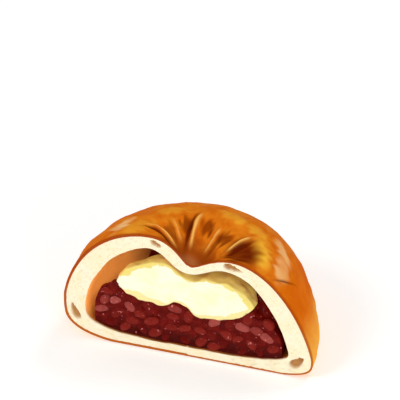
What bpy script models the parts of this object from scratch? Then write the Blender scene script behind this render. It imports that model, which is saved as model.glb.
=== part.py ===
# Half of an anpan, cut upright through the dimple on its top.
# It is a bread shell round a hollow, with sweet bean paste on the hollow's floor and a slab of pale cream
# on the paste.
# X runs along the cut, +Y goes from the cut into the bun, and +Z is up.
# The origin is at the bottom centre of the box round the bun. Lengths are in metres.

import math
import random

import bmesh
import bpy
import numpy as np
from mathutils import Matrix

# Driving sizes
CUT_HALF_WIDTH = 0.050
BUN_DEPTH = 0.0565
WALL = 0.0092
CLEARANCE = 0.0004
CUT_Y = -BUN_DEPTH / 2

# A dome's sizes go round its upright axis: at the left end of the cut, at the right end, and straight back.
# reach is from the axis and middle is the height of the widest level. fullness bends the upper side (less is
# fuller), and corner squares the lower edge. Near the cut the top leans to the left. The dimple has its own
# place along X, width and slope.
CRUST = {
    "reach": (CUT_HALF_WIDTH, CUT_HALF_WIDTH, BUN_DEPTH),
    "swell": (0.0008, 0.0),
    "middle": (0.0178, 0.0087, 0.0100),
    "fullness": (0.65, 0.80, 0.52),
    "corner": (3.6, 4.0, 3.2),
    "floor": -0.0010,
    "base": 0.0,
    "top": 0.0533,
    "lean": 0.0019,
    "lean_width": 0.015,
    "dimple": 0.0100,
    "dimple_place": 0.0015,
    "dimple_width": (0.0073, 0.0110, 0.0150),
    "dimple_slope": (1.60, 1.45, 2.40),
}
HOLLOW = {
    "reach": (CUT_HALF_WIDTH - WALL + 0.0006, CUT_HALF_WIDTH - WALL - 0.0004, BUN_DEPTH - WALL),
    "swell": (0.0014, -0.0003),
    "middle": (0.0167, 0.0104, 0.0140),
    "fullness": (0.73, 0.80, 0.62),
    "corner": (3.4, 2.9, 3.2),
    "floor": 0.0041,
    "base": 0.0042,
    "top": 0.0479,
    "lean": 0.0016,
    "lean_width": 0.012,
    "dimple": 0.0085,
    "dimple_place": 0.0,
    "dimple_width": (0.0096, 0.0114, 0.0155),
    "dimple_slope": (2.64, 2.02, 2.50),
}
DOME_POWER = 3
FULLNESS_SHARPNESS = 0.5
LEAN_DEPTH = 0.030
DIMPLE_BEHIND = 0.55

# The paste's front heaps higher on the left. Behind it, the paste falls away at the left end, is banked up
# against the wall at the right end, and rises behind the cream. x and y say between which places.
PASTE = {
    "reach": (0.0375, 0.0376, 0.0520),
    "swell": (0.0, 0.0),
    "middle": (0.012, 0.008, 0.012),
    "fullness": (0.30, 0.30, 0.30),
    "corner": (6.0, 6.0, 6.0),
    "floor": -0.004,
    "base": 0.001,
    "top": 0.0290,
    "lean": 0.0030,
    "lean_width": 0.015,
    "dimple": 0.0,
    "dimple_place": 0.0,
    "dimple_width": (0.01, 0.01, 0.01),
    "dimple_slope": (2.0, 2.0, 2.0),
}
PASTE_SET_BACK = 0.0008
BANK = {"rise": 0.008, "x": (0.016, 0.030), "y": (0.002, 0.011)}
FALL = {"slope": 0.80, "x": (-0.020, -0.029), "y": (0.0022, 0.0180)}
REAR = {"rise": 0.0095, "x": (-0.026, -0.014), "y": (0.010, 0.021)}
HEAP_HEIGHTS = (0.012, 0.024)

# Folds pinched into the dimple: each is a ridge that runs out from the middle. turn is its place round the
# axis in degrees at its own middle, and twist is how many more it turns for each metre further out.
FOLDS = (
    {"turn": 34, "twist": 800, "height": 0.0018, "half_width": 0.0016, "middle": 0.0200, "spread": 0.0072},
    {"turn": 95, "twist": 0, "height": 0.0028, "half_width": 0.0017, "middle": 0.0150, "spread": 0.0070},
    {"turn": 148, "twist": 1300, "height": 0.0022, "half_width": 0.0016, "middle": 0.0140, "spread": 0.0066},
)

# Slow unevenness of the baked surface: height, wavelength and phase of each wave, and how far the second wave
# of each pair turns from the first. Folds and lumps fade in between two heights.
LUMPS = ((0.00030, 0.034, 0.6), (0.00022, 0.021, 2.1), (0.00014, 0.013, 4.0))
LUMP_TURN = (0.3, 0.8)
RELIEF_HEIGHTS = (0.018, 0.036)

# The cream slab. From the front it has two lobes, and a notch above and below between them.
# The sizes up and down are from its middle height, on the left and on the right.
CREAM = {
    "centre": -0.0012,
    "half_width": 0.0274,
    "middle": 0.0286,
    "up": (0.0133, 0.0096),
    "down": (0.0086, 0.0103),
    "notch_up": (0.0044, 0.0006, 0.0056),
    "notch_down": (0.0040, -0.0034, 0.0058),
    "arch": (2.4, 0.6),
    "lobes_meet": (-0.010, 0.010),
    "front": 0.0003,
    "front_round": 0.0020,
    "front_power": 6,
    "back_depth": (0.0130, 0.0250),
    "back_deepens": (-0.022, 0.012),
}

# Air pockets in the crumb, seen at the cut: place along X and Z, length, height and slant
POCKETS = (
    ("pocket_top_left", -0.0126, 0.0502, 0.0042, 0.0021, -25),
    ("pocket_low_left", -0.0455, 0.0112, 0.0062, 0.0030, -68),
    ("pocket_top_right", 0.0194, 0.0451, 0.0042, 0.0021, -28),
    ("pocket_top_right_tail", 0.0162, 0.0456, 0.0044, 0.0008, -4),
    ("pocket_low_right", 0.0444, 0.0069, 0.0052, 0.0034, 48),
    ("pocket_low_right_tail", 0.0418, 0.0050, 0.0038, 0.0014, 22),
)
POCKET_DEPTH = 0.0036

# Whole beans: largest angles in degrees, and margins from the paste's edges as shares of a bean's width
BEAN = {
    "long": 0.0060,
    "wide": 0.0042,
    "proud": (0.000385, 0.0007),
    "apart": 0.0040,
    "size": (0.82, 1.1),
    "slant": 75,
    "swing": 20,
    "side_margin": 0.6,
    "roof_margin": 0.35,
}
FRONT_BEANS = 52
BEAN_TRIES = 4000
SEED = 7

# Segments round each shape and rings from pole to pole
DETAIL = {
    "bread": (96, 40),
    "hollow": (68, 30),
    "paste": (60, 26),
    "cream": (44, 22),
    "pocket": (12, 8),
    "bean": (9, 6),
}

# Colour and roughness of each node
LOOKS = {
    "bread": ("baked_crust", (0.56, 0.20, 0.035), 0.32),
    "bean_paste": ("bean_paste_red", (0.17, 0.012, 0.008), 0.30),
    "cream": ("pale_cream", (0.98, 0.94, 0.70), 0.45),
}


def mix(low, high, share):
    return low + (high - low) * share


def ease(share):
    share = np.clip(share, 0.0, 1.0)
    return share * share * (3.0 - 2.0 * share)


def bell(distance, width):
    return np.exp(-((distance / width) ** 2))


def between(value, ends):
    """0 at the first end, 1 at the second, smooth between them."""
    return ease((value - ends[0]) / (ends[1] - ends[0]))


def fade_in(z, heights):
    """0 below the first height, 1 above the second, straight between them."""
    return np.clip((z - heights[0]) / (heights[1] - heights[0]), 0.0, 1.0)


def around(sizes, turn, sharpness=2.0):
    """One of a dome's sizes at a turn round its axis."""
    left, right, back = sizes
    at_cut = mix(left, right, 0.5 + 0.5 * np.cos(turn))
    return mix(at_cut, back, np.abs(np.sin(turn)) ** sharpness)


def dimple_drop(dome, x, y):
    """How far the dimple lowers the top: depth times exp(-(distance / width) ^ slope)."""
    x = x - dome["dimple_place"]
    turn = np.arctan2(np.abs(y), x)
    behind = ease(np.abs(np.sin(turn)) / DIMPLE_BEHIND)
    shares = {}
    for key in ("dimple_width", "dimple_slope"):
        left, right, back = dome[key]
        shares[key] = mix(mix(left, right, 0.5 + 0.5 * np.cos(turn)), back, behind)
    return dome["dimple"] * np.exp(-((np.hypot(x, y) / shares["dimple_width"]) ** shares["dimple_slope"]))


def fold_rise(x, y):
    """How far the folds stand up: a bell across each fold, and a wider bell along it."""
    rise = np.zeros_like(x)
    away = np.hypot(x, y)
    for fold in FOLDS:
        aside = np.arctan2(y, x) - np.radians(fold["turn"] + fold["twist"] * (away - fold["middle"]))
        along = away * np.cos(aside)
        across = away * np.sin(aside)
        ridge = bell(across, fold["half_width"]) * bell(along - fold["middle"], fold["spread"])
        rise += np.where(along > 0.0, fold["height"] * ridge, 0.0)
    return rise


def lump_rise(x, y):
    """Slow bumps: products of two waves at unlike angles."""
    rise = np.zeros_like(x)
    for height, wavelength, phase in LUMPS:
        rate = 2.0 * math.pi / wavelength
        turned = LUMP_TURN[0] * x + LUMP_TURN[1] * y
        rise += height * np.sin(rate * x + phase) * np.sin(rate * turned + 2.0 * phase)
    return rise


def dome_points(dome, turn, drop, inset=0.0):
    """Points of a dome for a turn round its axis and a drop from its top. Both may be arrays.

    Above the widest level the height goes as (1 - share^power)^fullness, and below it as a rounded corner.
    share is the distance from the axis over the reach. inset draws the whole surface in by that much.
    """
    share = np.sin(drop)
    swell = np.where(np.cos(turn) < 0.0, dome["swell"][0], dome["swell"][1]) * np.sin(2.0 * turn) ** 2
    reach = around(dome["reach"], turn) + swell - inset
    x = share * reach * np.cos(turn)
    y = share * reach * np.sin(turn)
    middle = around(dome["middle"], turn)
    corner = around(dome["corner"], turn)
    lean = dome["lean"] * np.tanh(x / dome["lean_width"]) * (1.0 - ease(y / LEAN_DEPTH))
    top = dome["top"] - lean - inset
    up = np.clip(1.0 - share**DOME_POWER, 0.0, 1.0) ** around(dome["fullness"], turn, FULLNESS_SHARPNESS)
    down = np.clip(1.0 - share**corner, 0.0, 1.0) ** (1.0 / corner)
    upper = middle + (top - middle) * up - dimple_drop(dome, x, y)
    lower = np.maximum(middle - (middle - dome["floor"] - inset) * down, dome["base"] + inset)
    return x, y, np.where(drop < math.pi / 2, upper, lower)


def crust_points(turn, drop):
    x, y, z = dome_points(CRUST, turn, drop)
    on_top = fade_in(z, RELIEF_HEIGHTS) * (drop < math.pi / 2)
    return x, y, z + on_top * (fold_rise(x, y) + lump_rise(x, y))


def hollow_points(turn, drop):
    return dome_points(HOLLOW, turn, drop)


def filling_room_points(turn, drop):
    return dome_points(HOLLOW, turn, drop, inset=CLEARANCE)


def paste_points(turn, drop):
    x, y, z = dome_points(PASTE, turn, drop)
    bank = BANK["rise"] * between(x, BANK["x"]) * between(y, BANK["y"])
    rear = REAR["rise"] * between(x, REAR["x"]) * between(y, REAR["y"])
    fall = FALL["slope"] * (np.clip(y, *FALL["y"]) - FALL["y"][0]) * between(x, FALL["x"])
    return x, y, z + (np.maximum(bank, rear) - fall) * fade_in(z, HEAP_HEIGHTS)


def cream_edges(x):
    """Heights of the cream's upper and lower edge along its front."""
    share = np.clip(np.abs(x - CREAM["centre"]) / CREAM["half_width"], 0.0, 1.0)
    arch = (1.0 - share ** CREAM["arch"][0]) ** CREAM["arch"][1]
    blend = between(x, CREAM["lobes_meet"])
    edges = []
    for way, name in ((1.0, "up"), (-1.0, "down")):
        depth, place, width = CREAM["notch_" + name]
        size = mix(*CREAM[name], blend) - depth * bell(x - place, width)
        edges.append(CREAM["middle"] + way * size * arch)
    return edges


def cream_points(turn, drop, grown=0.0):
    """The slab's poles lie along Y. turn goes round it seen from the front, and drop from front to back."""
    share = np.sin(drop)
    reach = CREAM["half_width"] * np.cos(turn)
    upper, lower = cream_edges(CREAM["centre"] + reach)
    edge = np.where(np.sin(turn) > 0.0, upper, lower) + grown * np.sin(turn)
    x = CREAM["centre"] + share * (reach + grown * np.cos(turn))
    z = CREAM["middle"] + share * (edge - CREAM["middle"])
    depth = mix(*CREAM["back_depth"], between(x, CREAM["back_deepens"]))
    power = CREAM["front_power"]
    front = -(CREAM["front_round"] + grown) * np.clip(1.0 - share**power, 0.0, 1.0) ** (1.0 / power)
    back = (depth + grown) * np.sqrt(np.clip(1.0 - share**2, 0.0, 1.0))
    return x, CREAM["front"] + CREAM["front_round"] + np.where(drop < math.pi / 2, front, back), z


def cream_room_points(turn, drop):
    return cream_points(turn, drop, CLEARANCE)


def new_object(name, mesh, collection):
    obj = bpy.data.objects.new(name, mesh)
    collection.objects.link(obj)
    return obj


def shaped_sphere(name, collection, detail, points):
    """A UV sphere with its points moved to where points(turn, drop) puts them, y counted from the cut."""
    segments, rings = detail
    bm = bmesh.new()
    bmesh.ops.create_uvsphere(bm, u_segments=segments, v_segments=rings, radius=1.0)
    half_step = Matrix.Rotation(math.pi / segments, 3, "Z")
    bmesh.ops.rotate(bm, verts=bm.verts, cent=(0, 0, 0), matrix=half_step)
    places = np.array([vert.co for vert in bm.verts])
    turn = np.arctan2(places[:, 1], places[:, 0])
    drop = np.arccos(np.clip(places[:, 2], -1.0, 1.0))
    moved = np.stack(points(turn, drop), axis=1)
    moved[:, 1] += CUT_Y
    for vert, place in zip(bm.verts, moved):
        vert.co = place
    bmesh.ops.recalc_face_normals(bm, faces=bm.faces)
    if bm.calc_volume(signed=True) < 0.0:
        bmesh.ops.reverse_faces(bm, faces=bm.faces)
    mesh = bpy.data.meshes.new(name)
    bm.to_mesh(mesh)
    bm.free()
    mesh.shade_smooth()
    return new_object(name, mesh, collection)


def block_in_front(name, collection, plane_y):
    """A block that takes away all that lies in front of a plane."""
    size = 4.0 * CUT_HALF_WIDTH
    bpy.ops.mesh.primitive_cube_add(size=size, location=(0.0, plane_y - size / 2, 0.0))
    block = bpy.context.object
    block.name = name
    for owner in list(block.users_collection):
        owner.objects.unlink(block)
    collection.objects.link(block)
    return block


def small_ball(name, collection, place, size, turns, detail):
    """An ellipsoid with its full lengths along its own X, Y and Z, turned and then placed."""
    segments, rings = detail
    mesh = bpy.data.meshes.new(name)
    bm = bmesh.new()
    bmesh.ops.create_uvsphere(bm, u_segments=segments, v_segments=rings, radius=0.5)
    bmesh.ops.scale(bm, vec=size, verts=bm.verts)
    bm.to_mesh(mesh)
    bm.free()
    mesh.shade_smooth()
    ball = new_object(name, mesh, collection)
    ball.rotation_euler = turns
    ball.location = place
    return ball


def boolean(obj, name, operation, other):
    """A Boolean with one object, or with all the objects of a collection."""
    modifier = obj.modifiers.new(name, "BOOLEAN")
    modifier.operation = operation
    modifier.solver = "EXACT"
    if isinstance(other, bpy.types.Collection):
        modifier.operand_type = "COLLECTION"
        modifier.collection = other
    else:
        modifier.object = other
    return modifier


def apply_modifiers(obj):
    """Leaves the object with the mesh that its modifiers make."""
    graph = bpy.context.evaluated_depsgraph_get()
    mesh = bpy.data.meshes.new_from_object(obj.evaluated_get(graph))
    obj.modifiers.clear()
    obj.data = mesh


def dress(obj):
    """Gives a node its one material."""
    name, colour, roughness = LOOKS[obj.name]
    mat = bpy.data.materials.new(name)
    mat.use_nodes = True
    shader = mat.node_tree.nodes["Principled BSDF"]
    shader.inputs["Base Color"].default_value = (*colour, 1.0)
    shader.inputs["Roughness"].default_value = roughness
    shader.inputs["Metallic"].default_value = 0.0
    obj.data.materials.append(mat)


def paste_top(x):
    """Height of the paste's top along its front face."""
    end = 0 if x < 0 else 1
    share = min(abs(x) / PASTE["reach"][end], 1.0)
    middle = PASTE["middle"][end]
    top = PASTE["top"] - PASTE["lean"] * math.tanh(x / PASTE["lean_width"])
    return middle + (top - middle) * (1.0 - share**DOME_POWER) ** PASTE["fullness"][end]


def scatter_beans(collection):
    """Whole beans half sunk in the paste's front face, below the cream, no two closer than apart."""
    draw = random.Random(SEED)
    reach = PASTE["reach"][0] - BEAN["side_margin"] * BEAN["long"]
    floor = HOLLOW["base"] + BEAN["side_margin"] * BEAN["wide"]
    places = []
    for _ in range(BEAN_TRIES):
        x = draw.uniform(-reach, reach)
        z = draw.uniform(floor, PASTE["top"])
        roof = min(paste_top(x), float(cream_edges(x)[1])) - BEAN["roof_margin"] * BEAN["wide"]
        clear = all(math.hypot(x - a, z - b) > BEAN["apart"] for a, b in places)
        if z < roof and clear:
            places.append((x, z))
        if len(places) == FRONT_BEANS:
            break
    for number, (x, z) in enumerate(places):
        size = draw.uniform(*BEAN["size"])
        depth = PASTE_SET_BACK + BEAN["wide"] * size / 2 - draw.uniform(*BEAN["proud"])
        long_way = (BEAN["long"] * size, BEAN["wide"] * size, BEAN["wide"] * size)
        slant = math.radians(draw.uniform(-BEAN["slant"], BEAN["slant"]))
        swing = math.radians(draw.uniform(-BEAN["swing"], BEAN["swing"]))
        place = (x, CUT_Y + depth, z)
        small_ball(f"bean_{number:02d}", collection, place, long_way, (0.0, slant, swing), DETAIL["bean"])


def make_bread(collection, cutters):
    bread = shaped_sphere("bread", collection, DETAIL["bread"], crust_points)
    hollow = shaped_sphere("hollow_cutter", cutters, DETAIL["hollow"], hollow_points)
    front = block_in_front("front_cutter", cutters, CUT_Y)
    pockets = bpy.data.collections.new("pockets")
    cutters.children.link(pockets)
    for name, x, z, length, height, slant in POCKETS:
        turns = (0.0, -math.radians(slant), 0.0)
        small_ball(name, pockets, (x, CUT_Y, z), (length, POCKET_DEPTH, height), turns, DETAIL["pocket"])
    boolean(bread, "hollow", "DIFFERENCE", hollow)
    boolean(bread, "cut", "DIFFERENCE", front)
    boolean(bread, "air pockets", "DIFFERENCE", pockets)
    dress(bread)


def make_cream(collection, room):
    cream = shaped_sphere("cream", collection, DETAIL["cream"], cream_points)
    boolean(cream, "under the ceiling", "INTERSECT", room)
    dress(cream)


def make_paste(collection, cutters, room):
    paste = shaped_sphere("bean_paste", collection, DETAIL["paste"], paste_points)
    front = block_in_front("paste_front_cutter", cutters, CUT_Y + PASTE_SET_BACK)
    beans = bpy.data.collections.new("beans")
    bpy.context.scene.collection.children.link(beans)
    scatter_beans(beans)
    boolean(paste, "front face", "DIFFERENCE", front)
    boolean(paste, "whole beans", "UNION", beans)
    bpy.context.view_layer.update()
    apply_modifiers(paste)
    for bean in list(beans.objects):
        bpy.data.objects.remove(bean)
    bpy.data.collections.remove(beans)
    cream_room = shaped_sphere("cream_room_cutter", cutters, DETAIL["cream"], cream_room_points)
    boolean(paste, "inside the hollow", "INTERSECT", room)
    boolean(paste, "under the cream", "DIFFERENCE", cream_room)
    dress(paste)


def main():
    for obj in list(bpy.data.objects):
        bpy.data.objects.remove(obj)
    parts = bpy.data.collections.new("anpan_half")
    cutters = bpy.data.collections.new("cutters")
    for collection in (parts, cutters):
        bpy.context.scene.collection.children.link(collection)
    room = shaped_sphere("filling_room_cutter", cutters, DETAIL["hollow"], filling_room_points)
    make_bread(parts, cutters)
    make_cream(parts, room)
    make_paste(parts, cutters, room)
    for cutter in cutters.all_objects:
        cutter.hide_render = True
        cutter.display_type = "WIRE"


main()
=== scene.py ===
import math

import bmesh
import bpy
import numpy as np
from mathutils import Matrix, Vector


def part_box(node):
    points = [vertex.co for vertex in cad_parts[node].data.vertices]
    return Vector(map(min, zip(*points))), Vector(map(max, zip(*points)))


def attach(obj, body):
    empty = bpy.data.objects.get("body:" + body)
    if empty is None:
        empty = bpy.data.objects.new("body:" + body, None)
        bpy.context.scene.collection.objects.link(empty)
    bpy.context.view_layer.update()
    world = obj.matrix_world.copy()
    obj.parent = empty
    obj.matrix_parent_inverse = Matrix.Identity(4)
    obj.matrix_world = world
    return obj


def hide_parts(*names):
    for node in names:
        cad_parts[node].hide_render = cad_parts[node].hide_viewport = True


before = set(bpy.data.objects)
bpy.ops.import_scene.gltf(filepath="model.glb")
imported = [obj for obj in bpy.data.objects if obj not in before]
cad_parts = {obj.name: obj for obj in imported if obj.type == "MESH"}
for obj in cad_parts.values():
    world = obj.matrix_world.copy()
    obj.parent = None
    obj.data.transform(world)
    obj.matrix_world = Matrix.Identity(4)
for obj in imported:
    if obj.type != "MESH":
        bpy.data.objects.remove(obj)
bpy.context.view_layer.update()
breadLow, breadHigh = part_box("bread")
# the cut is 100 mm wide, and all sizes below are in those millimetres, from the foot of the bun's axis
mm = (breadHigh[0] - breadLow[0]) / 100
cutPlace = np.array([(breadLow[0] + breadHigh[0]) / 2, breadLow[1], breadLow[2]])
print("frame loaded, one millimetre is", round(mm, 6), "m")


# shape helpers: x runs along the cut, y from the cut into the bun, z up, all from the foot of the axis

def blendTo(a, b, share):
    # a + (b - a) share: a where the share is 0, b where it is 1
    return a + (b - a) * share


def ease(share):
    # smooth step: 3 s^2 - 2 s^3, with s held between 0 and 1
    share = np.clip(share, 0.0, 1.0)
    return share * share * (3.0 - 2.0 * share)


def bell(distance, width):
    # exp(-(distance / width)^2)
    return np.exp(-(distance / width) ** 2)


def ripple(points, wavelength, seed, count=22):
    # smooth unevenness, mostly within -1..1: a sum of sine waves near one wavelength, in all directions
    draw = np.random.default_rng(seed)
    ways = draw.normal(size=(count, 3))
    paces = 2 * math.pi / wavelength * draw.uniform(0.7, 1.4, count)
    ways *= (paces / np.linalg.norm(ways, axis=1))[:, None]
    phases = draw.uniform(0, 2 * math.pi, count)
    total = np.zeros(points.shape[:-1])
    for way, phase in zip(ways, phases):
        total += np.sin(points @ way + phase)
    return total / (1.5 * math.sqrt(count / 2))


def ripples(points, layers):
    # a sum of ripples, each given by its height, wavelength and seed
    return sum(height * ripple(points, wavelength, seed) for height, wavelength, seed in layers)


def gridNormals(points):
    # unit normals of a grid of points: the cross product of its two directions
    along = np.gradient(points, axis=1)
    down = np.gradient(points, axis=0)
    normals = np.cross(along, down)
    length = np.linalg.norm(normals, axis=2, keepdims=True)
    return normals / np.maximum(length, 1e-9)


def stack(x, y, z):
    # three arrays of coordinates, or numbers, as one array of points
    return np.stack(np.broadcast_arrays(x, y, z), axis=-1).astype(float)


def gridFaces(rows, columns, start):
    # quads of a grid whose first vertex has the number start
    corner = start + np.arange(rows - 1)[:, None] * columns + np.arange(columns - 1)[None, :]
    return np.stack([corner, corner + 1, corner + columns + 1, corner + columns], axis=-1).reshape(-1, 4)


def makeMesh(name, grids, attributes):
    # one closed mesh from grids of points that share their edges; an attribute has one array a grid
    starts = np.cumsum([0] + [grid.shape[0] * grid.shape[1] for grid in grids])
    points = np.concatenate([grid.reshape(-1, 3) for grid in grids]) * mm + cutPlace
    faces = np.concatenate([gridFaces(g.shape[0], g.shape[1], s) for g, s in zip(grids, starts)])
    return finishMesh(name, points, faces, attributes, 0.002)


def finishMesh(name, points, faces, attributes, weld):
    # points closer together than the weld distance become one, and the faces are turned outwards
    mesh = bpy.data.meshes.new(name)
    mesh.from_pydata(points, [], faces)
    for key, values in attributes.items():
        layer = mesh.attributes.new(key, "FLOAT", "POINT")
        flat = np.concatenate([v.reshape(-1) for v in values])
        layer.data.foreach_set("value", flat.astype(np.float32))
    bm = bmesh.new()
    bm.from_mesh(mesh)
    bmesh.ops.remove_doubles(bm, verts=bm.verts, dist=weld * mm)
    bmesh.ops.recalc_face_normals(bm, faces=bm.faces)
    if bm.calc_volume(signed=True) < 0:
        bmesh.ops.reverse_faces(bm, faces=bm.faces)
    bm.to_mesh(mesh)
    bm.free()
    mesh.shade_smooth()
    piece = bpy.data.objects.new(name, mesh)
    bpy.context.scene.collection.objects.link(piece)
    return piece


# shader helpers

def paint(red, green, blue):
    # a colour picked as 0..255 screen values, as the linear values that sockets take
    screen = np.array([red, green, blue]) / 255
    linear = np.where(screen <= 0.04045, screen / 12.92, ((screen + 0.055) / 1.055) ** 2.4)
    return (*[float(v) for v in linear], 1.0)


def paints(piece):
    # the colours in a piece's dictionary, ready for sockets
    return {name: paint(*screen) for name, screen in piece["colours"].items()}


class Wire:
    # a socket with sums written as expressions: each operator adds a Math node

    def __init__(self, finish, socket):
        self.finish, self.socket = finish, socket

    def sum(self, operation, first, second):
        return self.finish.node("ShaderNodeMath", {"operation": operation}, {0: first, 1: second})

    def __add__(self, other):
        return self.sum("ADD", self, other)

    def __radd__(self, other):
        return self.sum("ADD", other, self)

    def __sub__(self, other):
        return self.sum("SUBTRACT", self, other)

    def __rsub__(self, other):
        return self.sum("SUBTRACT", other, self)

    def __mul__(self, other):
        return self.sum("MULTIPLY", self, other)

    def __rmul__(self, other):
        return self.sum("MULTIPLY", other, self)

    def __truediv__(self, other):
        return self.sum("DIVIDE", self, other)


class Finish:
    # a material and what its nodes are made with

    def __init__(self, name, **constants):
        self.material = bpy.data.materials.new(name)
        self.material.use_nodes = True
        self.tree = self.material.node_tree
        self.shader = self.tree.nodes["Principled BSDF"]
        for socket, value in constants.items():
            self.shader.inputs[socket.replace("_", " ")].default_value = value

    def node(self, kind, settings=None, sockets=None, out=0):
        # adds a node, sets its settings first, then the values or links of its sockets
        made = self.tree.nodes.new(kind)
        for key, value in (settings or {}).items():
            setattr(made, key, value)
        for key, value in (sockets or {}).items():
            if isinstance(value, Wire):
                self.tree.links.new(value.socket, made.inputs[key])
            else:
                made.inputs[key].default_value = value
        return Wire(self, made.outputs[out])

    def value(self, attribute):
        # a number kept at each vertex of the piece
        return self.node("ShaderNodeAttribute", {"attribute_name": attribute}, out="Fac")

    def place(self):
        return self.node("ShaderNodeTexCoord", out="Object")

    def measure(self, axis):
        # millimetres along X, Y or Z from the foot of the bun's axis
        apart = self.node("ShaderNodeSeparateXYZ", {}, {0: self.place()}, out=axis)
        return (apart - float(cutPlace["XYZ".index(axis)])) / mm

    def noise(self, size, detail=2.0, rough=0.5, seed=0.0, warp=0.0):
        # noise whose features are about that many millimetres, from 0 to 1
        shift = (seed, seed / 2, -seed)
        moved = self.node("ShaderNodeMapping", {}, {"Vector": self.place(), "Location": shift})
        sockets = {"Vector": moved, "Scale": 1 / (size * mm), "Detail": detail, "Roughness": rough}
        return self.node("ShaderNodeTexNoise", {}, {**sockets, "Distortion": warp})

    def band(self, wire, start, end):
        # 0 below start, 1 above end, smooth between
        return self.node(
            "ShaderNodeMapRange", {"interpolation_type": "SMOOTHSTEP"},
            {"Value": wire, "From Min": start, "From Max": end},
        )

    def mix(self, share, first, second):
        # the first colour where the share is 0, the second where it is 1
        return self.node("ShaderNodeMix", {"data_type": "RGBA"}, {0: share, 6: first, 7: second}, out=2)

    def bump(self, height, strength, distance, under=None):
        # relief in the shading alone, that many millimetres deep, on top of other relief if there is any
        sockets = {"Height": height, "Strength": strength, "Distance": distance * mm}
        if under:
            sockets["Normal"] = under
        return self.node("ShaderNodeBump", {}, sockets)

    def feed(self, **wires):
        # links wires to the shader's sockets; an underscore stands for a space
        for socket, wire in wires.items():
            self.tree.links.new(wire.socket, self.shader.inputs[socket.replace("_", " ")])
        return self.material


# the bun's crust and its hollow: sizes in threes are for the cut's left end, its right end, and the back;
# middle is the height of the widest level, fullness and corner round the dome above and below it, swell
# widens it between two of those directions, and lean tips the top down to the right; skin is how thick the
# crust is at the cut, and deeper how much is added behind the cut; relief lists height, wavelength and seed

crust = {
    "reach": (50.0, 50.0, 56.5), "swell": (0.8, 0.0), "middle": (17.8, 8.7, 10.0),
    "fullness": (0.65, 0.80, 0.52), "corner": (3.6, 4.0, 3.2), "floor": -1.0, "base": 0.0,
    "top": 53.3, "lean": 1.9, "leanWidth": 15.0, "leanDepth": 30.0,
    "dimple": 10.0, "dimplePlace": 1.5, "dimpleWidth": (7.3, 11.0, 15.0), "dimpleSlope": (1.60, 1.45, 2.40),
    "skin": (0.95, 0.55, 0.7), "deeper": 1.3, "rows": (225, 70), "columns": 290, "innerColumns": 24,
    "rimColumns": 5, "rimRound": 0.10, "reliefFrom": 18, "reliefFull": 36,
    "relief": ((0.20, 13, 1), (0.07, 5, 2), (0.02, 1.8, 3)),
    "colours": {
        "flank": (216, 98, 4), "flankLight": (230, 118, 12),
        "shoulder": (220, 106, 10), "shoulderLight": (240, 140, 30),
        "foot": (252, 180, 70), "peachHighlight": (255, 196, 122), "goldHighlight": (255, 190, 56), "recessShade": (112, 34, 2),
        "pitShade": (146, 58, 10), "pitMiddle": (182, 108, 58), "grooveShade": (100, 28, 2), "crestHighlight": (255, 190, 92),
        "edge": (164, 62, 10), "grain": (120, 48, 8),
    },
}
hollow = {
    "reach": (41.4, 40.4, 47.3), "swell": (1.4, -0.3), "middle": (16.7, 10.4, 14.0),
    "fullness": (0.73, 0.80, 0.62), "corner": (3.4, 2.9, 3.2), "floor": 4.1, "base": 4.2,
    "top": 47.9, "lean": 1.6, "leanWidth": 12.0, "leanDepth": 30.0,
    "dimple": 8.5, "dimplePlace": 0.0, "dimpleWidth": (9.6, 11.4, 15.5), "dimpleSlope": (2.64, 2.02, 2.50),
    "columns": 110, "relief": ((0.35, 12, 11), (0.14, 4, 12)),
}

# folds run out from the dimple; turn is in degrees at the fold's middle, twist is how many more it turns for
# each millimetre further out, and side is where the groove beside the ridge lies
folds = [
    {"turn": 34, "twist": 0.8, "height": 1.8, "width": 0.95, "middle": 20.6, "spread": 5.4, "side": -1},
    {"turn": 95, "twist": -0.4, "height": 2.7, "width": 1.00, "middle": 15.0, "spread": 7.2, "side": 1},
    {"turn": 148, "twist": 1.3, "height": 2.2, "width": 0.80, "middle": 14.0, "spread": 6.0, "side": 1},
    {"turn": 62, "twist": 0.5, "height": 1.2, "width": 0.90, "middle": 14.0, "spread": 5.0, "side": -1},
    {"turn": 122, "twist": 0.3, "height": 0.9, "width": 0.90, "middle": 14.5, "spread": 4.6, "side": 1},
]
# a fold's cross section, in shares of its height and width
foldForm = {
    "sharp": 0.62, "soft": 0.38, "softWidth": 2.4, "crestWidth": 0.55,
    "grooveAside": 2.0, "grooveWidth": 0.8, "grooveDepth": 0.26, "fullHeight": 1.8,
}
# a short slanting nick in the right flank
crease = {"turn": 10.5, "middle": 37.0, "spread": 3.2, "slant": 0.85, "width": 0.5, "depth": 0.5}
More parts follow.
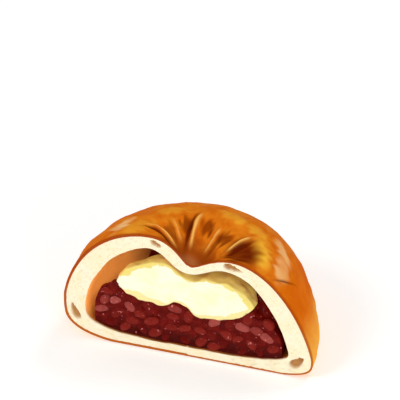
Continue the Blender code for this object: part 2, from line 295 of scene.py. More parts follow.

# patches of colour on the crust: how far from the axis and at what turn in degrees, half their extents, how
# much they rise above the crust, and how strong their colour is; the gold and peach patches are painted
# highlights, on the bulges round the dimple and where the glaze shines, and the dark ones are painted shade
# in the dimple and its small recesses
patches = {
    "goldHighlight": [
        {"away": 28.6, "turn": 22, "wide": 3.2, "long": 15, "rise": 0.5, "strong": 1.0},
        {"away": 30.5, "turn": 44, "wide": 3.0, "long": 12, "rise": 0.2, "strong": 0.6},
        {"away": 28.5, "turn": 68, "wide": 3.2, "long": 12, "rise": 0.3, "strong": 0.5},
        {"away": 25.5, "turn": 120, "wide": 3.2, "long": 12, "rise": 0.3, "strong": 0.45},
        {"away": 22.5, "turn": 170, "wide": 5.0, "long": 20, "rise": 0.2, "strong": 0.45},
    ],
    "peachHighlight": [
        {"away": 35.9, "turn": 17, "wide": 2.0, "long": 9, "rise": 0.1, "strong": 0.9},
        {"away": 38.0, "turn": 32, "wide": 2.0, "long": 10, "rise": 0.1, "strong": 1.0},
        {"away": 30.2, "turn": 163, "wide": 3.0, "long": 10, "rise": 0.0, "strong": 1.0},
        {"away": 41.0, "turn": 100, "wide": 5.0, "long": 24, "rise": 0.0, "strong": 0.25},
    ],
    "recessShade": [
        {"away": 20.8, "turn": 20, "wide": 6.6, "long": 19, "rise": -0.7, "strong": 1.0},
        {"away": 17.0, "turn": 50, "wide": 3.4, "long": 9, "rise": -0.3, "strong": 0.8},
        {"away": 17.0, "turn": 80, "wide": 3.4, "long": 8, "rise": -0.3, "strong": 0.8},
        {"away": 16.5, "turn": 108, "wide": 3.2, "long": 8, "rise": -0.3, "strong": 0.8},
        {"away": 14.0, "turn": 134, "wide": 3.0, "long": 6, "rise": -0.2, "strong": 0.6},
    ],
}


def around(sizes, turn, sharp=2.0):
    # a size at a turn round the axis: from left to right by (1 + cos) / 2, and on to the back by |sin|^sharp
    left, right, back = sizes
    return blendTo(blendTo(left, right, 0.5 + 0.5 * np.cos(turn)), back, np.abs(np.sin(turn)) ** sharp)


def dimpleDrop(dome, x, y):
    # depth times exp(-(distance / width)^slope), width and slope by the turn round the dimple's own place
    x = x - dome["dimplePlace"]
    turn = np.arctan2(np.abs(y), x)
    behind = ease(np.abs(np.sin(turn)) / 0.55)
    width, slope = [
        blendTo(blendTo(v[0], v[1], 0.5 + 0.5 * np.cos(turn)), v[2], behind)
        for v in (dome["dimpleWidth"], dome["dimpleSlope"])
    ]
    return dome["dimple"] * np.exp(-(np.hypot(x, y) / width) ** slope)


def domeHeights(dome, turn, share, inset=0.0):
    # upper and lower height at a turn and at a share of the reach: middle + (top - middle) times
    # (1 - share^3)^fullness, less the dimple, and middle - depth (1 - share^corner)^(1 / corner)
    swell = np.where(np.cos(turn) < 0, *dome["swell"]) * np.sin(2 * turn) ** 2
    reach = around(dome["reach"], turn) + swell - inset
    x, y = share * reach * np.cos(turn), share * reach * np.sin(turn)
    middle = around(dome["middle"], turn)
    corner = around(dome["corner"], turn)
    lean = dome["lean"] * np.tanh(x / dome["leanWidth"]) * (1 - ease(y / dome["leanDepth"]))
    arch = np.clip(1 - share ** 3, 0, 1) ** around(dome["fullness"], turn, 0.5)
    upper = middle + (dome["top"] - lean - inset - middle) * arch - dimpleDrop(dome, x, y)
    bowl = np.clip(1 - share ** corner, 0, 1) ** (1 / corner)
    lower = np.maximum(middle - (middle - dome["floor"] - inset) * bowl, dome["base"] + inset)
    return x, y, upper, lower


def domeDrops():
    # drop angles of the rows, from 0 at the top to pi at the bottom, closer on the upper side
    above, below = crust["rows"]
    half = math.pi / 2
    return np.concatenate([np.linspace(0, half, above)[:-1], np.linspace(half, math.pi, below)])


def domeGrid(dome, drops, columns, skin=(0.0, 0.0, 0.0), deeper=0.0):
    # rows go from the top down to the bottom, columns from the cut's right end round the back to its left;
    # the surface lies a skin below the dome at the cut, and deeper below it from 4 mm behind the cut on
    drop = drops[:, None]
    turn = np.linspace(0, math.pi, columns)[None, :]
    share = np.sin(drop) + 0 * turn
    inset = around(skin, turn) + deeper * ease(share * dome["reach"][0] * np.sin(turn) / 4)
    x, y, upper, lower = domeHeights(dome, turn, share, inset)
    grid = stack(x, y, np.where(drop < math.pi / 2, upper, lower))
    grid[:, [0, -1], 1] = 0.0
    grid[[0, -1], :, :2] = 0.0
    return grid


def foldRelief(x, y):
    # each fold is a ridge, a narrow bell on a wide one, with a groove beside it, and turns as it runs out;
    # gives the height, a share for the painted highlight along the crests, and a share for the painted shade
    # in the grooves and in the nick
    height, crestHighlight, grooveShade = np.zeros(x.shape), np.zeros(x.shape), np.zeros(x.shape)
    away, form = np.hypot(x, y), foldForm
    for fold in folds:
        turn = np.arctan2(y, x) - np.radians(fold["turn"] + fold["twist"] * (away - fold["middle"]))
        along, across = away * np.cos(turn), away * np.sin(turn)
        reach = bell(along - fold["middle"], fold["spread"]) * (along > 0)
        width = fold["width"]
        ridge = form["sharp"] * bell(across, width) + form["soft"] * bell(across, form["softWidth"] * width)
        aside = across - form["grooveAside"] * fold["side"] * width
        beside = bell(aside, form["grooveWidth"] * width) * reach
        height += fold["height"] * (ridge * reach - form["grooveDepth"] * beside)
        shown = min(1.0, fold["height"] / form["fullHeight"])
        ended = ease((reach - 0.2) / 0.5)
        crestHighlight = np.maximum(crestHighlight, bell(across, form["crestWidth"] * width) * ended * shown)
        grooveShade = np.maximum(grooveShade, ease(beside / 0.7) * shown)
    turn = math.radians(crease["turn"])
    along = x * math.cos(turn) + y * math.sin(turn) - crease["middle"]
    across = y * math.cos(turn) - x * math.sin(turn) - crease["slant"] * along
    nick = bell(across, crease["width"]) * bell(along, crease["spread"])
    return height - crease["depth"] * nick, crestHighlight, np.maximum(grooveShade, nick)


def patchShare(away, turn, patch):
    # 1 up to 0.55 of a patch's extents, 0 from 1.45 of them on, soft between
    across = (away - patch["away"]) / patch["wide"]
    along = (np.degrees(turn) - patch["turn"]) / patch["long"]
    reach = np.hypot(across, along)
    return ease((1.45 - reach) / 0.9)


def makeCrust():
    # the dome, lifted by folds and patches and moved along its normals by the relief, then the same dome a
    # skin lower, and two narrow rims that join both at the cut
    drops = domeDrops()
    grid = domeGrid(crust, drops, crust["columns"])
    x, y, z = np.moveaxis(grid, -1, 0)
    rise = (z - crust["reliefFrom"]) / (crust["reliefFull"] - crust["reliefFrom"])
    onTop = np.clip(rise, 0, 1) * (drops < math.pi / 2)[:, None]
    away, turn = np.hypot(x, y), np.arctan2(y, x)
    height, crestHighlight, grooveShade = foldRelief(x, y)
    # streaks that run out from the axis: they are stretched outwards and close together round it
    streak = ripple(stack(away * 0.35, turn * 22, 0 * away), 3.0, 6)
    shares = {key: np.zeros(x.shape) for key in patches}
    for key, listed in patches.items():
        for patch in listed:
            share = patchShare(away + 0.8 * streak, turn + 0.04 * streak, patch)
            shares[key] = np.maximum(shares[key], share * patch["strong"])
            height = height + patch["rise"] * patchShare(away, turn, patch) * ease(y / 4)
    grid[..., 2] += onTop * height
    # the relief fades out at the foot and at the poles, and is weaker near the cut
    relief = ripples(grid, crust["relief"]) * np.clip(z / 6, 0, 1) * np.clip(away / 6, 0, 1)
    relief = relief * (0.4 + 0.6 * ease(y / 3))
    normals = gridNormals(grid)
    heart = [0, 20, 20]
    outward = np.sign((normals * (grid - heart)).sum(axis=2, keepdims=True))
    grid = grid + normals * outward * relief[..., None]
    grid[:, [0, -1], 1] = 0.0
    grid[[0, -1]] = grid[[0, -1], :1]
    grid[..., 2] = np.maximum(grid[..., 2], 0.0)
    inner = domeGrid(crust, drops, crust["innerColumns"], crust["skin"], crust["deeper"])
    across = np.linspace(0, 1, crust["rimColumns"])[None, :, None]
    rims = []
    for end in (0, -1):
        rim = blendTo(grid[:, end, None], inner[:, end, None], across)
        rim[..., 1] = -crust["rimRound"] * np.sin(math.pi * across[..., 0])
        rims.append(rim)
    grids = [grid, inner] + rims
    shown = {"away": away, "crestHighlight": crestHighlight * onTop, "grooveShade": grooveShade * onTop, "streak": 0.5 + 0.5 * streak}
    shown.update({key: share * onTop for key, share in shares.items()})
    values = {key: [value] + [np.zeros(g.shape[:2]) for g in grids[1:]] for key, value in shown.items()}
    values["edge"] = [bell(y, 0.8)] + [np.ones(g.shape[:2]) for g in grids[1:]]
    return makeMesh("crustSkin", grids, values)


def crustFinish():
    # each mix lays one more colour over those before it
    f = Finish("bakedCrust", Specular_IOR_Level=0.0, Coat_Roughness=0.18)
    c = paints(crust)
    height = f.measure("Z")
    away, streak, peachHighlight = f.value("away"), f.value("streak"), f.value("peachHighlight")
    cloud = f.noise(16, 3, 0.55, 0.3, 0.6)
    patch = f.noise(7, 4, 0.6, 1.1, 0.8)
    grain = f.noise(1.1, 3, 0.6, 2.0)
    # orange flanks; a paler foot, partly the bun's paler bake and partly painted bounce light from the
    # floor;
    # painted highlights on the patches round the dimple; painted shade in the pit and its recesses, with the
    # pit's pale middle; and on the folds painted highlights along the crests and painted shade in the
    # grooves
    colour = f.mix(f.band(cloud, 0.3, 0.72), c["flank"], c["flankLight"])
    shoulder = f.band(height + (cloud - 0.5) * 14, 28.0, 44.0)
    golden = f.mix(f.band(patch, 0.3, 0.7), c["shoulder"], c["shoulderLight"])
    colour = f.mix(shoulder * 0.8, colour, golden)
    # partly the paler bake of the foot, partly painted bounce light from the floor
    foot = f.band(height + (patch - 0.5) * 8 + (cloud - 0.5) * 8, 28.0, 9.0)
    colour = f.mix(foot * 0.9, colour, c["foot"])
    # painted highlights where the glaze shines
    colour = f.mix(peachHighlight * (0.55 + streak * 0.4), colour, c["peachHighlight"])
    # painted highlights on the bulges round the dimple
    colour = f.mix(f.value("goldHighlight") * (0.65 + streak * 0.35), colour, c["goldHighlight"])
    upper = f.band(height, 30.0, 38.0)
    # painted shade in the dimple
    pitShade = f.band(away + (patch - 0.5) * 6, 15.0, 7.0) * upper
    colour = f.mix(pitShade * 0.85, colour, c["pitShade"])
    # painted shade in the dimple and its small recesses
    colour = f.mix(f.value("recessShade") * (0.88 + streak * 0.12), colour, c["recessShade"])
    colour = f.mix(f.band(away, 6.5, 2.5) * upper * 0.8, colour, c["pitMiddle"])
    # painted shade in the grooves beside the folds and in the nick
    colour = f.mix(f.value("grooveShade") * 0.9, colour, c["grooveShade"])
    # painted highlights along the fold crests
    colour = f.mix(f.value("crestHighlight"), colour, c["crestHighlight"])
    colour = f.mix(f.value("edge") * 0.8, colour, c["edge"])
    colour = f.mix(f.band(grain, 0.45, 0.85) * 0.08, colour, c["grain"])
    relief = f.bump(f.noise(2.6, 4, 0.6, 3.0), 0.3, 0.3, f.bump(grain, 0.2, 0.1))
    rough = 0.34 + f.noise(9, 2, 0.5, 4.0) * 0.16
    return f.feed(Base_Color=colour, Roughness=rough, Coat_Weight=0.03 + peachHighlight * 0.14, Normal=relief)


# crumb at the cut, and the hollow's wall

# air pockets in the cut: their middle, length, height, slant in degrees, and how much they narrow along it
pockets = [
    {"x": -12.6, "z": 50.2, "long": 4.4, "tall": 2.2, "slant": -25, "tail": 0.0},
    {"x": -45.5, "z": 11.2, "long": 7.0, "tall": 2.9, "slant": -68, "tail": 0.35},
    {"x": 18.2, "z": 45.4, "long": 7.4, "tall": 2.3, "slant": -12, "tail": -0.75},
    {"x": 43.9, "z": 6.6, "long": 6.8, "tall": 3.5, "slant": 44, "tail": -0.5},
]
crumb = {
    "ringColumns": 46, "outerColumns": 30, "overlap": 0.15,
    "pore": 0.35, "pocketDepth": 1.5, "roundEdge": 0.5, "sink": 0.15, "dipAtCrust": 0.20,
    "relief": ((0.10, 5, 22), (0.05, 1.6, 23)),
    "colours": {
        "face": (254, 243, 215), "faceDeeper": (252, 238, 200), "pores": (242, 218, 164),
        "pocket": (186, 132, 78), "pocketLight": (206, 158, 104),
        "wall": (244, 160, 76), "wallLight": (252, 184, 108), "wallCeilingShade": (196, 98, 26),
        "wallLowShade": (230, 138, 46), "wallFootShade": (176, 92, 34), "wallGlow": (226, 140, 62),
    },
}


def pocketMask(x, z):
    # each air pocket is an ellipse whose height shrinks towards its tail: 1 inside, 0 outside, soft between
    total = np.zeros(x.shape)
    for pocket in pockets:
        slant = math.radians(pocket["slant"])
        aside, over = x - pocket["x"], z - pocket["z"]
        along = (aside * math.cos(slant) + over * math.sin(slant)) / (pocket["long"] / 2)
        across = (over * math.cos(slant) - aside * math.sin(slant)) / (pocket["tall"] / 2)
        taper = np.clip(1 + pocket["tail"] * along, 0.25, 2)
        total = np.maximum(total, ease((1.12 - np.hypot(along, across / taper)) / 0.22))
    return total


def makeCrumb():
    # the dome a little less than a skin lower, the hollow's dome, and two rings of the cut that join both;
    # pores and pockets sink into the rings, and the hollow's wall is uneven along its normals
    drops = domeDrops()
    skin = np.array(crust["skin"]) - crumb["overlap"]
    outer = domeGrid(crust, drops, crumb["outerColumns"], skin, crust["deeper"])
    wall = domeGrid(hollow, drops, hollow["columns"])
    normals = gridNormals(wall)
    deep = ease(wall[..., 1] / 4)
    lift = ease(np.hypot(wall[..., 0], wall[..., 1]) / 6)
    wall = wall + normals * (ripples(wall, hollow["relief"]) * (0.35 + 0.65 * deep) * lift)[..., None]
    wall[:, [0, -1], 1] = 0.0
    wall[[0, -1]] = wall[[0, -1], :1]
    rings = []
    across = np.linspace(0, 1, crumb["ringColumns"])[None, :, None]
    for end in (0, -1):
        ring = blendTo(outer[:, end, None], wall[:, end, None], across)
        width = np.linalg.norm(outer[:, end, None] - wall[:, end, None], axis=2)
        fromCrust = across[..., 0] * width
        toHollow = (1 - across[..., 0]) * width
        pores = ease((ripple(ring, 1.7, 21) - 0.55) / 0.4) * crumb["pore"]
        inside = ease(fromCrust / 0.8) * ease(toHollow / 0.8)
        sink = (ripples(ring, crumb["relief"]) + pores + crumb["sink"]) * inside
        sink = sink + crumb["pocketDepth"] * pocketMask(ring[..., 0], ring[..., 2]) * ease(toHollow / 0.4)
        sink = sink + crumb["dipAtCrust"] * bell(fromCrust, 0.35)
        ring[..., 1] = np.maximum(sink, 0) * ease(toHollow / crumb["roundEdge"])
        rings.append(ring)
    grids = [outer, wall] + rings
    isWall = [np.zeros(g.shape[:2]) for g in grids]
    isWall[1] = ease(wall[..., 1] / 0.4)
    isPocket = [np.zeros(g.shape[:2]) for g in grids[:2]]
    isPocket += [pocketMask(ring[..., 0], ring[..., 2]) for ring in rings]
    return makeMesh("crumbBody", grids, {"wall": isWall, "pocket": isPocket})


def crumbFinish():
    # pale face with pores and tan pockets, and the orange wall of the hollow
    f = Finish("breadCrumb", Roughness=0.75, Specular_IOR_Level=0.1, Emission_Strength=0.75)
    c = paints(crumb)
    wall, pocket = f.value("wall"), f.value("pocket")
    height, side = f.measure("Z"), f.measure("X")
    fine = f.noise(0.7, 3, 0.6, 0.2)
    soft = f.noise(6, 3, 0.5, 1.0)
    cells = f.node("ShaderNodeTexVoronoi", {}, {"Vector": f.place(), "Scale": 1 / (1.1 * mm)})
    face = f.mix(f.band(soft, 0.3, 0.75), c["face"], c["faceDeeper"])
    face = f.mix(f.band(fine, 0.55, 0.8) * 0.25, face, c["pores"])
    face = f.mix(pocket, face, f.mix(f.band(soft, 0.3, 0.7), c["pocket"], c["pocketLight"]))
    # the hollow's wall is painted light on the left, with painted shade making it darker at the ceiling and
    # low down
    inner = f.mix(f.band(soft, 0.3, 0.75), c["wall"], c["wallLight"])
    ceiling = f.band(side + (soft - 0.5) * 6, -40.0, -22.0)
    inner = f.mix(ceiling * 0.95, inner, c["wallCeilingShade"])
    inner = f.mix(f.band(height, 22.0, 8.0) * 0.5, inner, c["wallLowShade"])
    inner = f.mix(f.band(height, 12.5, 7.0) * 0.8, inner, c["wallFootShade"])
    colour = f.mix(wall, face, inner)
    # painted light: the bread's left wall glows as if daylight soaked through it
    glow = f.mix(wall * (1 - ceiling) * f.band(height, 7.0, 16.0), (0, 0, 0, 1), c["wallGlow"])
    relief = f.bump(cells, 0.25, 0.25, f.bump(fine, 0.45, 0.25))
    return f.feed(Base_Color=colour, Emission_Color=glow, Normal=relief)


# bean paste and its whole beans: the paste is a dome like the others, trimmed to stay clear of the hollow;
# it rises in a bank on the right and in the rear behind the cream, and falls away from the cut on the left

paste = {
    "reach": (37.5, 37.6, 52.0), "swell": (0.0, 0.0), "middle": (12.0, 8.0, 12.0),
    "fullness": (0.30, 0.30, 0.30), "corner": (6.0, 6.0, 6.0), "floor": -4.0, "base": 1.0,
    "top": 29.0, "lean": 3.0, "leanWidth": 15.0, "leanDepth": 30.0,
    "dimple": 0.0, "dimplePlace": 0.0, "dimpleWidth": (10.0, 10.0, 10.0), "dimpleSlope": (2.0, 2.0, 2.0),
    "rows": 150, "columns": 130, "frontColumns": 150, "setBack": 0.8, "gap": 0.4, "edge": 0.03,
    "lumps": ((0.45, 5.5, 31), (0.20, 2.4, 32)), "frontLumps": ((0.30, 4.2, 33), (0.10, 1.5, 34)),
    "frontSink": 0.25, "behindCream": 2.2,
    "colours": {
        "deep": (88, 8, 4), "light": (116, 16, 10), "foot": (64, 5, 2), "skins": (140, 44, 34),
        "glint": (206, 112, 108),
    },
}
bank = {"rise": 8.0, "x": (16.0, 30.0), "y": (2.0, 11.0)}
fall = {"slope": 0.80, "x": (-20.0, -29.0), "y": (2.2, 18.0)}
rear = {"rise": 9.5, "x": (-26.0, -14.0), "y": (10.0, 21.0)}


def between(value, ends):
    # eased share of the way from the first end to the second
    return ease((value - ends[0]) / (ends[1] - ends[0]))


def insideHollow(points, gap):
    # draws points in to stay a gap clear of the hollow's wall, ceiling and floor
    x, y, z = np.moveaxis(points, -1, 0)
    y = np.maximum(y, 0)
    turn = np.arctan2(y, x)
    swell = np.where(np.cos(turn) < 0, *hollow["swell"]) * np.sin(2 * turn) ** 2
    reach = around(hollow["reach"], turn) + swell - gap
    share = np.minimum(np.hypot(x, y) / reach, 0.985)
    newX, newY, ceiling, floor = domeHeights(hollow, turn, share, gap)
    return stack(newX, newY, np.clip(z, floor, np.maximum(ceiling, floor)))


def makePaste():
    # the dome with its banks and lumps, and an uneven front that joins the two ends of its rows
    grid = domeGrid(paste, np.linspace(0, math.pi, paste["rows"]), paste["columns"])
    x, y, z = np.moveaxis(grid, -1, 0)
    high = np.clip((z - 12) / 12, 0, 1)  # nothing moves below 12 mm
    drop = fall["slope"] * (np.clip(y, *fall["y"]) - fall["y"][0]) * between(x, fall["x"])
    heap = np.maximum(bank["rise"] * between(x, bank["x"]) * between(y, bank["y"]),
                      rear["rise"] * between(x, rear["x"]) * between(y, rear["y"]))
    grid[..., 2] += (heap - drop) * high
    grid[..., 2] += ripples(grid, paste["lumps"]) * high
    grid = insideHollow(grid, paste["gap"])
    grid[..., 1] = np.maximum(grid[..., 1], paste["setBack"])
    grid[[0, -1]] = grid[[0, -1], :1]
    across = np.linspace(0, 1, paste["frontColumns"])[None, :, None]
    front = blendTo(grid[:, :1], grid[:, -1:], across)
    # 1 inside the front and 0 along its rim and floor, so that the rim stays where the dome ends
    edge = ease(across[..., 0] / paste["edge"]) * ease((1 - across[..., 0]) / paste["edge"])
    edge = edge * ease(front[..., 2] - 5.3)
    edge[[0, -1]] = 0
    front[..., 1] += edge * (paste["frontSink"] - ripples(front, paste["frontLumps"]))
    behind = ease((front[..., 2] - creamEdges(front[..., 0])[1] - 0.6) / 1.2)
    inCream = np.abs(front[..., 0] - cream["centre"]) < cream["halfWidth"] - 1.5
    front[..., 1] += edge * paste["behindCream"] * behind * inCream
    return makeMesh("pasteCore", [grid, front], {})


bean = {
    "long": 7.6, "wide": 5.2, "count": 56, "apart": 4.5, "proud": (0.35, 0.95), "around": 16, "rings": 12,
    "bend": 0.18, "size": (0.78, 1.06), "slim": (0.85, 1.05), "yaw": 0.3,
    "colours": {
        "deep": (98, 10, 6), "light": (132, 34, 26), "pale": (164, 74, 68), "shade": (100, 14, 8),
        "glint": (214, 128, 124),
    },
}
# the beans that show most in the front: place along the cut, height, slant in degrees, tone
paleBeans = [
    (-33.6, 18.9, 60, 0.75), (-29.2, 19.7, 20, 0.90), (-34.8, 14.6, 10, 0.85), (-23.4, 17.7, -45, 0.85),
    (-19.5, 15.2, -20, 0.55), (-14.8, 12.6, 15, 0.60), (-6.2, 17.0, 0, 0.50), (-6.6, 11.6, 0, 0.40),
    (-1.4, 12.2, 20, 0.60), (5.0, 12.6, -15, 0.62), (10.4, 17.7, 35, 0.90), (15.3, 12.9, -40, 0.60),
    (19.8, 11.9, 30, 0.55), (25.4, 10.3, -50, 0.60), (21.6, 17.8, -10, 0.95), (32.0, 21.0, -45, 0.55),
    (31.6, 14.7, -30, 0.95), (27.4, 17.3, -20, 0.75), (-5.0, 20.6, -15, 0.75), (-22.5, 11.3, 10, 0.45),
]


def creamEdges(x, wavy=0.0):
    # upper and lower edge of the cream seen from the front: middle +- (size - notch) (1 - share^2.4)^0.6
    share = np.clip(np.abs(x - cream["centre"]) / cream["halfWidth"], 0, 1)
    arch = (1 - share ** 2.4) ** 0.6
    edges = []
    for way, key in ((1, "up"), (-1, "down")):
        depth, place, width = cream["notch" + key.capitalize()]
        size = blendTo(*cream[key], between(x, (-10, 10))) - depth * bell(x - place, width)
        waves = sum(h * np.sin(x / w + p * way) for h, w, p in cream["waves"])
        edges.append(cream["middle"] + way * (size + wavy * waves) * arch)
    return edges


def pasteTop(x):
    # height of the paste's top along its front
    share = np.minimum(np.abs(x) / paste["reach"][0], 1)
    middle = np.where(x < 0, paste["middle"][0], paste["middle"][1])
    top = paste["top"] - paste["lean"] * np.tanh(x / paste["leanWidth"])
    return middle + (top - middle) * (1 - share ** 3) ** paste["fullness"][0]


def scatterBeans(draw):
    # the pale beans, then others at random below the cream and in the paste, all a set distance apart
    halfWidth = paste["reach"][0] - 0.4 * bean["long"]
    kept = list(paleBeans)
    least, most = (-halfWidth, hollow["base"] + 1.6, -80, 0.0), (halfWidth, 34.0, 80, 0.5)
    tries = draw.uniform(least, most, (9000, 4))
    roofs = np.minimum(pasteTop(tries[:, 0]), creamEdges(tries[:, 0])[1]) - 0.45 * bean["wide"]
    for x, z, slant, tone in tries[tries[:, 1] < roofs]:
        if len(kept) < bean["count"] and all(math.hypot(x - k[0], z - k[1]) > bean["apart"] for k in kept):
            kept.append((x, z, slant, tone))
    return np.array(kept)


def makeBeans():
    # every bean is the same bent unit ball, stretched, turned and placed: centre + turn (size * ball)
    draw = np.random.default_rng(7)
    places = scatterBeans(draw)
    count = len(places)
    ring = np.linspace(0, math.pi, bean["rings"])[:, None]
    spin = np.linspace(0, 2 * math.pi, bean["around"] + 1)[None, :]
    ball = stack(np.cos(ring), np.sin(ring) * np.cos(spin), np.sin(ring) * np.sin(spin))
    ball[..., 2] -= bean["bend"] * (ball[..., 0] ** 2 - 1 / 3)
    size = draw.uniform(*bean["size"], count) * np.where(places[:, 3] > 0.5, 0.9, 1.0)
    long = 0.5 * bean["long"] * size
    wide = 0.5 * bean["wide"] * size * draw.uniform(*bean["slim"], count)
    slant, yaw = np.radians(places[:, 2]), draw.uniform(-bean["yaw"], bean["yaw"], count)
    none, one = np.zeros(count), np.ones(count)
    tilt = np.stack([
        stack(np.cos(slant), none, -np.sin(slant)), stack(none, one, none),
        stack(np.sin(slant), none, np.cos(slant)),
    ], axis=1)
    swing = np.stack([
        stack(np.cos(yaw), -np.sin(yaw), none), stack(np.sin(yaw), np.cos(yaw), none),
        stack(none, none, one),
    ], axis=1)
    turned = np.einsum("nij,njk,nk,rck->nrci", swing, tilt, stack(long, wide, wide), ball)
    proud = blendTo(*bean["proud"], ease(places[:, 3] / 0.6)) * draw.uniform(0.8, 1.0, count)
    centres = stack(places[:, 0], paste["setBack"] + wide - proud, places[:, 1])
    points = (turned + centres[:, None, None, :]).reshape(-1, 3) * mm + cutPlace
    start = np.arange(count) * ball.shape[0] * ball.shape[1]
    faces = np.concatenate([gridFaces(ball.shape[0], ball.shape[1], n) for n in start])
    tone = np.repeat(places[:, 3], ball.shape[0] * ball.shape[1])
    return finishMesh("wholeBeans", points, faces, {"tone": [tone]}, 0.0005)


def glints(f):
    # painted highlights: a few small glints
    return f.band(f.noise(1.5, 2, 0.5, 7.0), 0.68, 0.71) * 0.8


def pasteFinish():
    # dark red, with painted shade making it darker near the floor, shreds of bean skin and a few painted
    # glints
    f = Finish("sweetPaste", Roughness=0.32, Specular_IOR_Level=0.02, Coat_Weight=0.06, Coat_Roughness=0.08)
    c = paints(paste)
    patch = f.noise(3.2, 3, 0.55, 0.4, 0.5)
    fine = f.noise(0.8, 3, 0.6, 1.3)
    colour = f.mix(f.band(patch, 0.35, 0.7), c["deep"], c["light"])
    # painted shade near the floor
    colour = f.mix(f.band(f.measure("Z"), 12.0, 6.0) * 0.9, colour, c["foot"])
    colour = f.mix(f.band(fine, 0.5, 0.85) * 0.2, colour, c["skins"])
    # painted highlights: small glints
    colour = f.mix(glints(f), colour, c["glint"])
    relief = f.bump(patch, 0.4, 0.5, f.bump(fine, 0.4, 0.2))
    return f.feed(Base_Color=colour, Normal=relief)


def beanFinish():
    # from deep red to pale pink by each bean's tone
    f = Finish("beanSkin", Roughness=0.30, Specular_IOR_Level=0.02, Coat_Weight=0.06, Coat_Roughness=0.08)
    c, tone = paints(bean), f.value("tone")
    patch = f.noise(2.2, 2, 0.5, 0.9)
    colour = f.mix(f.band(tone, 0.05, 0.6), c["deep"], c["light"])
    colour = f.mix(f.band(tone, 0.6, 0.95), colour, c["pale"])
    colour = f.mix(f.band(patch, 0.4, 0.8) * 0.35, colour, c["shade"])
    # painted highlights: small glints
    colour = f.mix(glints(f), colour, c["glint"])
    return f.feed(Base_Color=colour, Normal=f.bump(f.noise(0.9, 2, 0.5, 0.1), 0.2, 0.12))


# cream: up and down are its height above and below the middle, for the left lobe and the right one, and the
# notches between the lobes are given by depth, place and width

cream = {
    "centre": -1.2, "halfWidth": 27.4, "middle": 28.6, "up": (13.3, 10.0), "down": (8.0, 10.3),
    "notchUp": (4.4, 0.6, 5.6), "notchDown": (4.0, -3.4, 5.8),
    "front": 0.3, "frontRound": 2.0, "backDepth": (13.0, 25.0),
    "waves": ((0.40, 2.3, 0.4), (0.22, 1.25, 1.9)), "lip": 0.25, "rows": 150, "columns": 260,
    "swirls": (0.22, 0.10), "foremost": -0.2, "gap": 0.5,
    "colours": {
        "pale": (255, 253, 224), "paleDeeper": (254, 248, 200), "low": (252, 232, 160),
        "shaded": (242, 222, 124), "shadedDeeper": (214, 196, 84), "glow": (172, 152, 70),
    },
}


def makeCream():
    # the blob's poles lie along y: turn goes round it seen from the front, drop from its front to its back
    drop = np.linspace(0, math.pi, cream["rows"])[:, None]
    turn = np.linspace(0, 2 * math.pi, cream["columns"])[None, :]
    share = np.sin(drop)
    reach = cream["halfWidth"] * np.cos(turn)
    upper, lower = creamEdges(cream["centre"] + reach, 1.0)
    x = cream["centre"] + share * reach
    z = cream["middle"] + share * (np.where(np.sin(turn) > 0, upper, lower) - cream["middle"])
    depth = blendTo(*cream["backDepth"], between(x, (-22, 12)))
    front = -cream["frontRound"] * np.clip(1 - share ** 6, 0, 1) ** (1 / 6)
    back = depth * np.sqrt(1 - share ** 2)
    y = cream["front"] + cream["frontRound"] + np.where(drop < math.pi / 2, front, back)
    grid = stack(x, y, z)
    normals = gridNormals(grid)
    heart = [cream["centre"], 8, cream["middle"]]
    outward = np.sign((normals * (grid - heart)).sum(axis=2, keepdims=True))
    broad, small = cream["swirls"]
    swirl = broad * ripple(grid * [1, 1, 1.8], 8, 41) + small * ripple(grid, 3, 42)
    lip = cream["lip"] * bell(np.sin(turn) + 0.8, 0.6) * bell(share - 0.93, 0.10)
    grid = grid + normals * outward * (swirl * ease(share / 0.3) + lip)[..., None]
    grid[..., 1] = np.maximum(grid[..., 1], cream["foremost"])
    grid = insideHollow(grid, cream["gap"])
    grid[[0, -1]] = grid[[0, -1], :1]
    grid[:, -1] = grid[:, 0]
    # painted shade: 1 along the front's lower edge and at its right end
    low = ease((-np.sin(turn) - 0.1) / 0.4) * ease((share - 0.68 - 0.08 * np.cos(turn)) / 0.16)
    low = np.maximum(low, ease((np.cos(turn) - 0.86) / 0.1) * ease((share - 0.86) / 0.10))
    # 0 in the middle of the front, 1 where the front ends, 2 at the back's middle; held back below and left
    onUpper = ease((np.sin(turn) + 0.25 * np.cos(turn) + 0.2) / 0.35)
    behind = np.where(drop < math.pi / 2, share, 2 - share) - 0.25 * (1 - onUpper)
    return makeMesh("creamSlab", [grid], {"low": [low], "behind": [behind]})


def creamFinish():
    # pale front, yellower with painted shade along its lower edge, and a painted shaded top whose border is
    # ragged
    f = Finish("paleCream", Roughness=0.42, Specular_IOR_Level=0.2, Emission_Strength=0.55)
    c = paints(cream)
    soft = f.noise(7, 3, 0.5, 0.6, 0.4)
    ragged = f.noise(3.5, 3, 0.6, 5.0)
    low, behind = f.value("low"), f.value("behind")
    colour = f.mix(f.band(soft, 0.35, 0.75), c["pale"], c["paleDeeper"])
    colour = f.mix(f.band(low + (ragged - 0.5) * 1.6, 0.55, 0.75), colour, c["low"])
    shaded = f.mix(f.band(behind + (soft - 0.5) * 0.3, 0.98, 1.08), c["shaded"], c["shadedDeeper"])
    cap = f.band(behind + (ragged - 0.5) * 0.3, 0.89, 0.92)
    colour = f.mix(cap, colour, shaded)
    # painted light: the cream's shaded top glows as if light soaked through it
    glow = f.mix(f.band(behind + (soft - 0.5) * 0.2, 0.94, 1.1), (0, 0, 0, 1), c["glow"])
    relief = f.bump(f.noise(3.5, 3, 0.55, 1.7), 0.25, 0.4, f.bump(f.noise(0.8, 2, 0.5, 2.2), 0.15, 0.1))
    return f.feed(Base_Color=colour, Emission_Color=glow, Normal=relief)


# pieces on the frame

def dress(piece, material, node):
    # the piece gets its finish, and stands for a node of the frame
    piece.data.materials.append(material)
    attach(piece, "root")
    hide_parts(node)


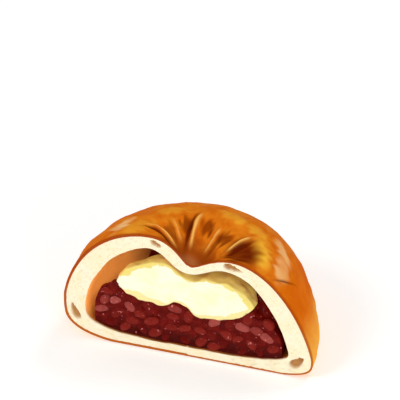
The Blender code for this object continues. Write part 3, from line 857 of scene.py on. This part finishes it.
dress(makeCrust(), crustFinish(), "bread")
dress(makeCrumb(), crumbFinish(), "bread")
print("bread made")
dress(makePaste(), pasteFinish(), "bean_paste")
dress(makeBeans(), beanFinish(), "bean_paste")
print("paste and beans made")
dress(makeCream(), creamFinish(), "cream")
print("cream made")


# floor, light and camera: the camera's sizes are in millimetres, the lamps' in metres

view = {
    "azimuth": 17.4, "elevation": 35.0, "frameWidth": 154.1, "lens": 300.0, "sensor": 36.0,
    "aimRight": 4.93, "aimUp": 59.06, "aimHeight": 1.3,
}
surroundings = {
    "floorSize": 4.0, "floorBelow": 0.0002, "floorShade": 0.95, "floorGlow": 0.28, "daylight": 0.42,
}
lampTarget = (0, 0, 0.025)
studio = [
    {"name": "keyLight", "from": (-0.60, -0.70, 0.85), "size": 0.50, "power": 4.3,
     "colour": (1.0, 0.98, 0.95), "shines": True},
    {"name": "frontLight", "from": (0.75, -0.90, 0.42), "size": 0.60, "power": 4.2,
     "colour": (1.0, 0.99, 0.97), "shines": True},
    {"name": "backLight", "from": (0.35, 0.60, 1.00), "size": 0.50, "power": 3.2,
     "colour": (1.0, 0.98, 0.95), "shines": False},
]


def makeStage():
    # a plain floor just under the bread, an even white world, and three round area lamps
    low = breadLow[2] - surroundings["floorBelow"]
    bpy.ops.mesh.primitive_plane_add(size=surroundings["floorSize"], location=(0, 0, low))
    floor = bpy.context.object
    floor.name = "floor"
    shade = surroundings["floorShade"]
    f = Finish("paleFloor", Base_Color=(shade, shade, shade, 1), Emission_Color=(1, 1, 1, 1),
               Roughness=0.8, Specular_IOR_Level=0.1, Emission_Strength=surroundings["floorGlow"])
    floor.data.materials.append(f.material)
    world = bpy.data.worlds.new("studioWorld")
    world.use_nodes = True
    background = world.node_tree.nodes["Background"].inputs
    background["Color"].default_value = (1, 1, 1, 1)
    background["Strength"].default_value = surroundings["daylight"]
    bpy.context.scene.world = world
    bpy.context.scene.view_settings.view_transform = "Standard"
    for light in studio:
        data = bpy.data.lights.new(light["name"], "AREA")
        data.shape, data.size = "DISK", light["size"]
        data.energy, data.color = light["power"], light["colour"]
        lamp = bpy.data.objects.new(light["name"], data)
        lamp.location = Vector(light["from"])
        lamp.rotation_euler = (Vector(lampTarget) - lamp.location).to_track_quat("-Z", "Y").to_euler()
        lamp.visible_glossy = light["shines"]
        bpy.context.scene.collection.objects.link(lamp)


def makeCamera():
    # the aim is where the middle of the picture falls on the plane through the foot of the bun's axis
    turn, tip = math.radians(view["azimuth"]), math.radians(view["elevation"])
    right = Vector((math.cos(turn), math.sin(turn), 0))
    back = Vector((math.sin(turn) * math.cos(tip), -math.cos(turn) * math.cos(tip), math.sin(tip)))
    up = back.cross(right)
    foot = Vector(cutPlace) + Vector((0, 0, view["aimHeight"] * mm))
    aim = foot + right * view["aimRight"] * mm + up * view["aimUp"] * mm
    data = bpy.data.cameras.new("camera")
    data.lens, data.sensor_width = view["lens"], view["sensor"]
    camera = bpy.data.objects.new("camera", data)
    camera.location = aim + back * (view["frameWidth"] * mm * view["lens"] / view["sensor"])
    camera.rotation_euler = back.to_track_quat("Z", "Y").to_euler()
    data.clip_start, data.clip_end = 0.01, 20.0
    bpy.context.scene.collection.objects.link(camera)
    bpy.context.scene.camera = camera


makeStage()
makeCamera()
print("studio made")
